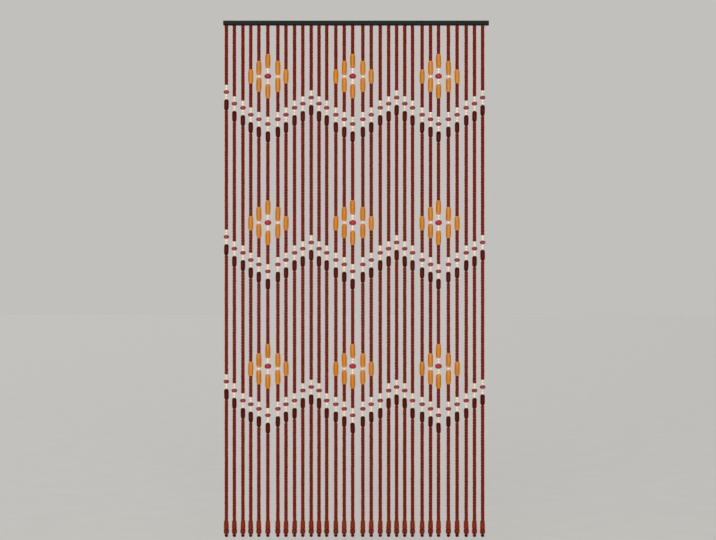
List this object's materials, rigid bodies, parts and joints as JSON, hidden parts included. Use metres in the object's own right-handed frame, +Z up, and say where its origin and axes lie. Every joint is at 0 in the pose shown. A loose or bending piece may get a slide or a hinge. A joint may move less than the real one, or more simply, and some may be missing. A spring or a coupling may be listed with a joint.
{
  "type": "bead curtain with rail",
  "caption": "Door curtain of hanging wooden bead strands with small flower-like motifs and zigzag bands, strung from a slim dark rail.",
  "frame": {"origin": "middle of the rail's top face, which goes against the head of the doorway", "axes": "+X along the rail to the right as seen from the front, +Y from the front to the back, +Z up; the strands hang towards -Z"},
  "size_m": [0.9, 0.0232, 1.75],
  "materials": {
    "rail_paint": "satin black paint on a wooden batten",
    "red_beads": "gloss lacquer over dark red stain",
    "white_beads": "gloss cream white lacquer",
    "crimson_beads": "gloss crimson lacquer",
    "yellow_beads": "gloss amber lacquer",
    "dark_beads": "gloss lacquer over dark brown stain",
    "bell_beads": "gloss lacquer over russet stain",
    "line": "twisted nylon line, dyed dark red",
    "band_tape": "woven tape"
  },
  "bodies": {
    "root": {"rail": "rail_paint", "strand_band": "red_beads"}
  },
  "joints": []
}
